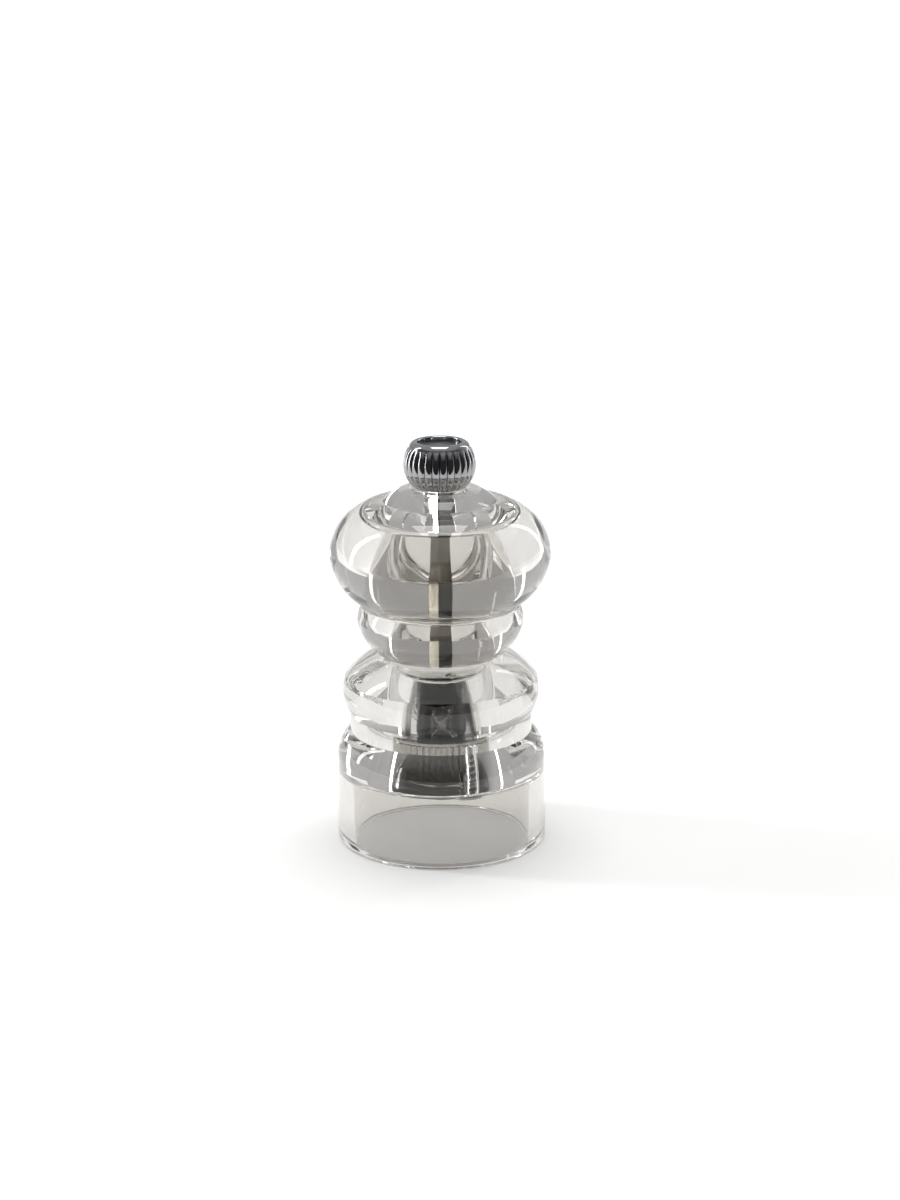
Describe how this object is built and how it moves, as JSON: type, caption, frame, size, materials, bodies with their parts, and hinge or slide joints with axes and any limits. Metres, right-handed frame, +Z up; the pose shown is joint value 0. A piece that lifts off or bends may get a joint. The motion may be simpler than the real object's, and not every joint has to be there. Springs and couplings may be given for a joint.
{
  "type": "salt and pepper mill",
  "caption": "Clear acrylic hand mill: a turned head drives a square steel shaft and toothed rotor in a ribbed stator ring; the ribbed metal knob on top sets the grind.",
  "frame": {"origin": "centre of the base, on the surface that the mill stands on", "axes": "+Z up along the shaft, -Y towards the camera of the source picture"},
  "size_m": [0.0484, 0.0484, 0.09],
  "materials": {
    "clear_acrylic": "polished, clear",
    "plated_knob": "polished dark plating",
    "inlay_metal": "satin",
    "shaft_steel": "drawn bar",
    "grinder_steel": "hardened, dull",
    "strap_steel": "bright pressed strip",
    "spring_steel": "drawn wire",
    "fastener_steel": "zinc plated",
    "dark_bush": "moulded"
  },
  "bodies": {
    "base": {"body": "clear_acrylic", "stator": "grinder_steel", "bracket": "strap_steel", "fixing_plate": "strap_steel", "fixing_screws": "fastener_steel"},
    "drive": {"shaft_bush": "dark_bush", "thrust_washer": "fastener_steel", "spring": "spring_steel"},
    "spindle": {"shaft": "shaft_steel", "rotor": "grinder_steel", "rotor_washer": "fastener_steel", "rotor_nut": "fastener_steel"},
    "head": {"head": "clear_acrylic"},
    "adjuster": {"knob": "plated_knob", "knob_inlay": "inlay_metal"}
  },
  "joints": [
    {"name": "head_turn", "type": "hinge", "parent": "base", "child": "drive", "pos_m": [0, 0, 0.037], "axis": [0, 0, 1], "continuous": true},
    {"name": "grind_setting", "type": "slide", "parent": "drive", "child": "spindle", "axis": [0, 0, 1], "range_m": [-0.00041, 0.00041], "deforming": ["spring"]},
    {"name": "head_lift", "type": "slide", "parent": "drive", "child": "head", "axis": [0, 0, 1], "range_m": [0, 0.04]},
    {"name": "knob_turn", "type": "hinge", "parent": "head", "child": "adjuster", "pos_m": [0, 0, 0.085], "axis": [0, 0, 1], "range_deg": [-240, 240]}
  ],
  "couplings": [
    {"joint": "grind_setting", "follows": "knob_turn", "m_per_rad": -0.000095493}
  ]
}
